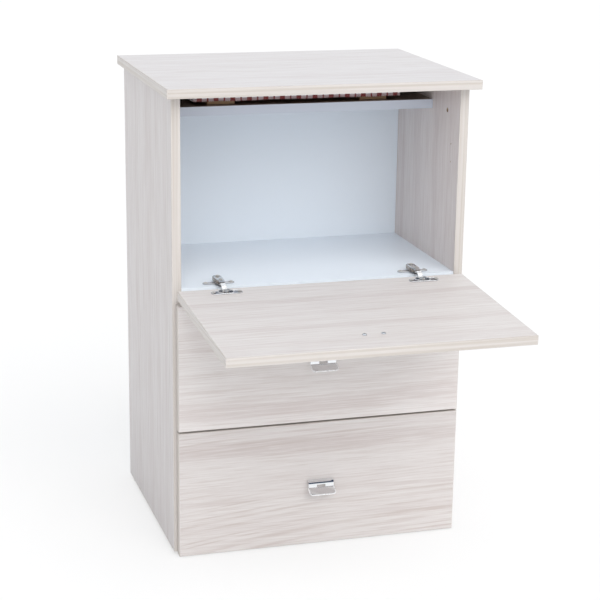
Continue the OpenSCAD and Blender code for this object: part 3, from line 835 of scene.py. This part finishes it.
def pull_mesh():
    """The chrome pull in its own space: the front's face is y = 0, out is -Y, up is +Z."""
    half, window, corner = 23.5 * MM, 7.85 * MM, 5 * MM
    wall_y, top_z = -7.55 * MM, 6.75 * MM
    quarter = [math.radians(a) for a in range(0, 91, 15)]

    def width(reach):
        """Half the sheet's width, so far from the lip's edge, where its corners are round."""
        return half if reach >= corner else half - corner + math.sqrt(corner ** 2 - (corner - reach) ** 2)

    path = rounded_path([(0, top_z, 0), (wall_y, top_z, 6.3 * MM), (wall_y, -5.5 * MM, 1.8 * MM),
                         (-23.2 * MM, -13.6 * MM, 0)])
    tip = path[-1]
    back = (path[-2] - tip).normalized()
    arc_end = 9
    wall = [Vector((wall_y, z * MM)) for z in (0.4, 0.0, -4.35)]
    lip = [tip + back * (corner * (1 - math.cos(a))) for a in reversed(quarter[:-1])]
    path = path[:arc_end + 1] + wall + path[arc_end + 1:-1] + lip
    rows = []
    for place in path:
        on_lip = place == tip or (place - tip).normalized().dot(back) > 0.999
        wide = width((place - tip).length if on_lip else corner)
        rows.append([(x, *place) for x in (-wide, -window, window, wide)])
    first = path.index(wall[1])
    sheet = bent_sheet("pull_sheet", rows, 1.7 * MM, 0.4 * MM,
                       lambda row, column: column == 1 and first <= row < first + 5)
    rim = []
    for reach in (16.4 * MM, 9 * MM, *[corner * (1 - math.sin(a)) for a in quarter]):
        rim.append((-width(reach), *(tip + back * reach)))
    rim += [(-x, y, z) for x, y, z in reversed(rim)]
    # The bead takes the pull's second material, a painted highlight.
    bead = marked(tube("pull_bead", rim, 1.15 * MM))
    post = rod("post", 4 * MM, 0, 6.9 * MM)
    posts = [(post, at(x, 0, 0) @ quarter_turn("X")) for x in SCREW_XS]
    return joined("pull", [(sheet, AS_IS), (bead, AS_IS), *posts])


def cross_screw(head_r, head_h, shank_r, shank_l):
    """A domed screw that points down, its head standing on z = 0 with a cross recess."""
    dome = [(head_r * math.cos(math.radians(a)), head_h * (0.3 + 0.7 * math.sin(math.radians(a))))
            for a in range(0, 90, 15)]
    body = lathe("screw", [(0, -shank_l), (shank_r * 0.5, -shank_l), (shank_r, -shank_l + 1.5 * MM),
                           (shank_r, -0.1 * MM), (head_r * 0.96, 0), *dome, (0, head_h)], 28)
    a, b = head_r * 0.16, head_r * 0.62
    plus = [(b, -a), (b, a), (a, a), (a, b), (-a, b), (-a, a), (-b, a), (-b, -a), (-a, -a), (-a, -b), (a, -b),
            (a, -a)]
    return cut(body, prism("recess", plus, head_h * 0.35, head_h * 2))


def place_pieces(name, body, slot, node, pieces, *materials, sharp=35):
    """One object from (mesh, matrix) pairs that stands for a CAD node."""
    mesh = mark_sharp(joined(name, pieces), sharp)
    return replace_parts(add_object(name, mesh, body, slot, *materials), node)


def dress_handles():
    pull = pull_mesh()
    screw = cross_screw(3.8 * MM, 2.2 * MM, 1.65 * MM, 21.5 * MM)
    places = {"flap": ("flap", FLAP_SPACE @ at(0, -274 * MM, -BOARD) @ quarter_turn("X"))}
    for drawer in ("lower", "upper"):
        low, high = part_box(f"{drawer}_edge_bands")
        places[drawer] = (f"{drawer}_drawer", at(0, low.y, (low.z + high.z) / 2))
    for name, (body, matrix) in places.items():
        place_pieces(f"{name}_pull", body, "chrome", f"{name}_handle", [(pull, matrix)], CHROME, PAINTED_HIGHLIGHT_METAL,
                     sharp=45)
        inside = [(screw, matrix @ at(x, BOARD, 0) @ quarter_turn("X", -1)) for x in SCREW_XS]
        place_pieces(f"{name}_pull_screws", body, "zinc_steel", f"{name}_handle_screws", inside, ZINC)


# ---------------------------------------------------------------- hinges


def arm_mesh():
    """A folded arm: a roof and two cheeks, high at the rear, that narrow and fall to the pin."""
    stations = [(7.6, 6.95, 497.45, 489.6), (-19.0, 6.95, 497.45, 489.6), (-22.5, 6.9, 497.4, 490.0),
                (-26.5, 5.3, 497.0, 490.9), (-29.5, 5.05, 496.4, 491.3), (-33.5, 5.05, 495.7, 491.3),
                (-37.0, 5.05, 495.5, 491.5), (-38.2, 5.05, 495.2, 491.8), (-38.9, 5.05, 494.5, 492.5)]
    round_r = 1.5
    rows = []
    for y, half, roof, foot in stations:
        side = [(half, foot), (half, (foot + roof - round_r) / 2), (half, roof - round_r)]
        side += [(half - round_r * (1 - math.cos(t)), roof - round_r * (1 - math.sin(t)))
                 for t in (math.radians(30), math.radians(60), math.radians(90))]
        section = [(-x, z) for x, z in side] + [(x, z) for x, z in reversed(side)]
        rows.append([(x * MM, y * MM, z * MM) for x, z in section])
    shell = bent_sheet("arm_shell", rows, 1.0 * MM, 0.25 * MM,
                       lambda row, column: row >= 5 and 1 < column < 9)
    holes = [rod("drill", 1.9 * MM, -12 * MM, 12 * MM, 20) for _ in range(2)]
    for hole, y in zip(holes, (-14.5, -30.0)):
        hole.transform(at(0, y * MM, 493.6 * MM) @ quarter_turn("Y"))
    return cut(shell, *holes)


def link_mesh():
    """The wide bright link: a barrel on the pin and a plate that turns down into the cup."""
    half = 4.3 * MM
    tilt = math.radians(15)
    out = Vector((-math.cos(tilt), -math.sin(tilt)))
    up = Vector((-math.sin(tilt), math.cos(tilt)))
    start = PIN.yz + up * 1.0 * MM
    bend = start + out * 9.0 * MM
    foot = start + out * 13.0 * MM
    path = rounded_path([(*start, 0), (*bend, 3.0 * MM), (foot.x, foot.y - 3.5 * MM, 0)])
    rows = [[(x, *place) for x in (-half, half)] for place in path]
    plate = bent_sheet("link_plate", rows, 1.5 * MM, 0.35 * MM)
    barrel = lathe("barrel", [(1.27 * MM, -half), (2.0 * MM, -half), (2.0 * MM, half), (1.27 * MM, half)], 28,
                   ring=True)
    return joined("link", [(plate, AS_IS), (barrel, at(*PIN) @ quarter_turn("Y"))])


def ear_turn(side, half, reach):
    """The half circle round one end of a capsule, from the back edge to the front edge."""
    turn = [math.radians(a) for a in range(0, 181, 15)]
    return [(side * (half + reach * math.sin(a)), reach * math.cos(a), 0) for a in turn]


def cup_mesh():
    """A pressed cup with a rolled rim, and a broad flange for its screws."""
    profile = [(0, -11.6), (11.9, -11.6), (12.98, -10.5), (12.98, 0), (14.1, 0.05), (14.3, 0.7), (14.0, 1.3),
               (13.4, 1.6), (12.8, 1.4), (12.4, 0.8), (12.4, -10.3), (11.6, -11.0), (0, -11.0)]
    cup = marked(lathe("cup", [(radius * MM, height * MM) for radius, height in profile], 56), 2)
    # The rim's upper faces take the painted highlight; the flange wing takes the painted dark reflection.
    marked(cup, 1, lambda polygon: polygon.center.z > 0.3 * MM and polygon.normal.z > 0.2)
    half, end = 19 * MM, 8.5 * MM
    wing = bevelled(prism("wing", capsule(half, end), 0.02 * MM, 1.0 * MM), 0.4 * MM)
    wing.transform(at(0, FLANGE_Y, 0))
    reach = end - EAR_BEAD
    stop = 13.6 * MM
    right, left = ear_turn(1, half, reach), ear_turn(-1, half, reach)
    path = [(stop, reach, 0), *right, *reversed(left), (-stop, reach, 0)]
    lip = marked(tube("flange_lip", path, EAR_BEAD))
    mouth = rod("mouth", 13.3 * MM, -3 * MM, 5 * MM, 56)
    return joined("cup_and_ears", [(cup, AS_IS), (cut(wing, mouth), AS_IS),
                                   (lip, at(0, FLANGE_Y, 0.85 * MM))])


def plate_mesh():
    """The mounting plate: a bar with round ends across the floor, and a raised rail under the arm."""
    wing = bevelled(prism("plate_wing", capsule(EAR, EAR_END), 0, 1.5 * MM), 0.4 * MM)
    reach = EAR_END - EAR_BEAD
    lips = []
    for side in (-1, 1):
        inner = side * 4.2 * MM
        path = [(inner, reach, 0), *ear_turn(side, EAR, reach), (inner, -reach, 0)]
        # The lips take the painted highlight; the wing takes the painted dark reflection.
        lips.append((marked(tube("ear_lip", path, EAR_BEAD)), at(0, 0, 1.25 * MM)))
    half, front, back = 4.6 * MM, -22 * MM, 16 * MM
    foot = bevelled(prism("plate_foot", oblong(half, front, back), 0.05 * MM, 2.2 * MM), 0.4 * MM)
    rail = bevelled(prism("plate_rail", oblong(half, -8 * MM, back), 1.5 * MM, 7.4 * MM), 0.6 * MM)
    return joined("plate", [(piece, AS_IS) for piece in (wing, foot, rail)] + lips)


def dress_hinges():
    arm, link, cup, plate = arm_mesh(), link_mesh(), cup_mesh(), plate_mesh()
    sides = (at(-HINGE_X, 0, 0) @ MIRROR, at(HINGE_X, 0, 0))
    in_flap = [FLAP_SPACE @ side @ at(0, CUP_Y, 0) for side in sides]
    place_pieces("hinge_mounting_plates", "carcass", "nickel", "hinge_plates",
                 [(plate, side @ at(0, PLATE_Y, FLOOR_Z)) for side in sides], EAR_FACE_PAINTED_REFLECTION, EAR_RIM_PAINTED_HIGHLIGHT)
    for name, side in zip(("left", "right"), sides):
        shell = place_pieces(f"hinge_arm_shell_{name}", "carcass", "nickel", f"hinge_arm_{name}",
                             [(arm, side)], NICKEL, ARM_SIDE_PAINTED_SHADE)
        # Faces turned from the light take the arm's darker copy of the nickel: painted shade.
        marked(shell.data, 1, lambda polygon: polygon.normal.z < 0.5)
        # The link is all painted highlight metal.
        place_pieces(f"hinge_link_plate_{name}", "hinge_links", "nickel", f"hinge_link_{name}",
                     [(link, side)], PAINTED_HIGHLIGHT_METAL)
    place_pieces("hinge_cups_pressed", "flap", "nickel", "hinge_cups", [(cup, space) for space in in_flap],
                 EAR_FACE_PAINTED_REFLECTION, EAR_RIM_PAINTED_HIGHLIGHT, NICKEL)
    ear_screw = cross_screw(3.4 * MM, 1.6 * MM, 1.5 * MM, 11.8 * MM)
    for name, body, spaces, place in (("plate", "carcass", sides, (PLATE_Y, FLOOR_Z + 2 * MM)),
                                      ("cup", "flap", in_flap, (FLANGE_Y, 1.6 * MM))):
        heads = [(ear_screw, space @ at(x, *place)) for space in spaces for x in (-EAR, EAR)]
        place_pieces(f"hinge_{name}_screw_heads", body, "zinc_steel", f"hinge_{name}_screws", heads,
                     HEAD_NICKEL)
    fixing = cross_screw(3.6 * MM, 2.0 * MM, 1.6 * MM, 9 * MM)
    depth = cross_screw(3.2 * MM, 1.6 * MM, 2.2 * MM, 7 * MM)
    heads = [(screw, side @ at(0, PLATE_Y + ahead, FLOOR_Z + 11 * MM)) for side in sides
             for screw, ahead in ((fixing, 8 * MM), (depth, -16 * MM))]
    place_pieces("hinge_arm_screw_heads", "carcass", "zinc_steel", "hinge_arm_screws", heads, HEAD_NICKEL)


# ---------------------------------------------------------------- padded board

CLOTH = 1.2 * MM
CELL = 5.8 * MM
CROWN = 2.4 * MM
SKIRT_ROWS = 4

# How far a point of the cloth may go, and how far it may stand out past the CAD's cover.
FARTHEST = 5 * MM
BULGE = 1.6 * MM

TOOTH = 3.2 * MM
HEM_TOP = 789.5 * MM
HEM_FOOT = 779.4 * MM


def slab_shell(low, high):
    """A crowned slab in square cells, open underneath; also the numbers of its hem's points."""
    across, deep = round((high.x - low.x) / CELL), round((high.y - low.y) / CELL)
    points, faces, number = [], [], {}
    for j in range(deep + 1):
        for i in range(across + 1):
            u, v = 2 * i / across - 1, 2 * j / deep - 1
            rise = CROWN * ((1 - u ** 6) * (1 - v ** 6)) ** 0.5
            number[i, j] = len(points)
            points.append((low.x + (high.x - low.x) * i / across, low.y + (high.y - low.y) * j / deep,
                           high.z - CROWN + rise))
    for j in range(deep):
        for i in range(across):
            faces.append((number[i, j], number[i + 1, j], number[i + 1, j + 1], number[i, j + 1]))
    edge = [number[i, 0] for i in range(across)] + [number[across, j] for j in range(deep)]
    edge += [number[i, deep] for i in range(across, 0, -1)] + [number[0, j] for j in range(deep, 0, -1)]
    above, hem = edge, []
    for row in range(1, SKIRT_ROWS + 1):
        share = row / SKIRT_ROWS
        below = []
        for k in edge:
            x, y, z = points[k]
            below.append(len(points))
            points.append((x, y, z + (low.z - z) * share))
        for k in range(len(edge)):
            n = (k + 1) % len(edge)
            faces.append((above[n], above[k], below[k], below[n]))
        hem += below if row >= SKIRT_ROWS - 1 else []
        above = below
    return mesh_from("padding", points, faces), hem


def puffed(mesh, pinned, frames=20):
    """The mesh after a short cloth simulation that blows it up from inside, with some cloth to spare."""
    holder = loose("to_puff", mesh)
    group = holder.vertex_groups.new(name="hem")
    group.add(pinned, 1.0, "REPLACE")
    modifier = holder.modifiers.new("cloth", "CLOTH")
    cloth = modifier.settings
    cloth.quality = 6
    cloth.mass = 0.15
    cloth.tension_stiffness = cloth.compression_stiffness = 14
    cloth.bending_stiffness = 0.35
    cloth.use_pressure = True
    cloth.uniform_pressure_force = 4
    cloth.shrink_min = -0.035
    cloth.vertex_group_mass = "hem"
    cloth.effector_weights.gravity = 0
    modifier.collision_settings.use_collision = False
    modifier.point_cache.frame_start = 1
    modifier.point_cache.frame_end = frames
    scene = bpy.context.scene
    for step in range(1, frames + 1):
        scene.frame_set(step)
    made = baked(holder)
    scene.frame_set(1)
    return made


def clamp(value, low, high):
    return max(low, min(high, value))


def pinked_hem(low, high):
    """The cloth's cut edge, folded down over the board: a ribbon whose lower edge is pinked."""
    radius = 3 * MM
    stops = []
    corners = [(low.x + radius, low.y + radius, 180), (high.x - radius, low.y + radius, 270),
               (high.x - radius, high.y - radius, 0), (low.x + radius, high.y - radius, 90)]
    for x, y, start in corners:
        for k in range(5):
            angle = math.radians(start + 90 * k / 4)
            stops.append(Vector((x + radius * math.cos(angle), y + radius * math.sin(angle))))
    stops.append(stops[0])
    loop = []
    for a, b in zip(stops, stops[1:]):
        count = max(1, round((b - a).length / (TOOTH / 2)))
        loop += [(a.lerp(b, k / count), (b - a).normalized()) for k in range(count)]
    points, faces = [], []
    for k, (place, run) in enumerate(loop):
        out = Vector((run.y, -run.x))
        sway = 0.25 * math.sin(k * 0.31) + 0.2 * math.sin(k * 0.117 + 1.3)
        droop = 0.35 * math.sin(k * 0.083) + 0.2 * math.sin(k * 0.23 + 0.6)
        for share, height in ((0.0, HEM_TOP), (0.5, (HEM_TOP + HEM_FOOT) / 2),
                              (1.0, HEM_FOOT + (2.0 if k % 2 else 0.0) * MM + droop * MM)):
            flat = place + out * (0.15 + sway * share) * MM
            points.append((flat.x, flat.y, height))
    rows = len(loop)
    for k in range(rows):
        n = (k + 1) % rows
        for c in (0, 1):
            faces.append((3 * k + c + 1, 3 * n + c + 1, 3 * n + c, 3 * k + c))
    holder = loose("to_thicken", mesh_from("hem", points, faces))
    modify(holder, "SOLIDIFY", thickness=0.6 * MM, offset=1)
    return baked(holder)


def dress_stow_board():
    """Padding under printed cloth, drawn tight over the board and pinked along its cut edge."""
    core_low, core_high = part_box("stow_board_core")
    low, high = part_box("stow_board_cover")
    inset = Vector((0.3 * MM, 0.3 * MM, 0))
    start_low = low + inset
    start_high = high - inset - Vector((0, 0, CLOTH))
    mesh, hem = slab_shell(start_low, start_high)
    before = [v.co.copy() for v in mesh.vertices]
    mesh = puffed(mesh, hem)
    gap = CLOTH + 0.35 * MM
    for vertex, was in zip(mesh.vertices, before):
        move = vertex.co - was
        if move.length > FARTHEST:
            vertex.co = was + move.normalized() * FARTHEST
        here = vertex.co
        here.z = clamp(here.z, low.z, high.z + 2.2 * MM)
        over = core_low.x < here.x < core_high.x and core_low.y < here.y < core_high.y
        if was.z > start_high.z - 3 * MM and over:
            here.z = max(here.z, core_high.z + gap)
        if abs(was.x - start_low.x) < MM or abs(was.x - start_high.x) < MM:
            side = 1 if was.x > 0 else -1
            here.x = side * clamp(abs(here.x), core_high.x + gap, high.x + BULGE)
        if abs(was.y - start_low.y) < MM:
            here.y = clamp(here.y, low.y - BULGE, core_low.y - gap)
        if abs(was.y - start_high.y) < MM:
            here.y = clamp(here.y, core_high.y + gap, high.y + BULGE)
    holder = loose("to_finish", mesh)
    modify(holder, "SOLIDIFY", thickness=CLOTH, offset=-1)
    modify(holder, "SUBSURF", levels=1, render_levels=1)
    cover = baked(holder)
    mesh = mark_sharp(joined("stow_cloth", [(cover, AS_IS), (pinked_hem(low, high), AS_IS)]), 60)
    made = add_object("stow_board_cloth", mesh, "stow_board", "cotton", COTTON)
    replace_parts(made, "stow_board_cover")


dress_boards()
dress_bands()
dress_handles()
dress_hinges()
dress_stow_board()
soften("glides", 0.6 * MM)
soften("stow_board_battens", 0.8 * MM)
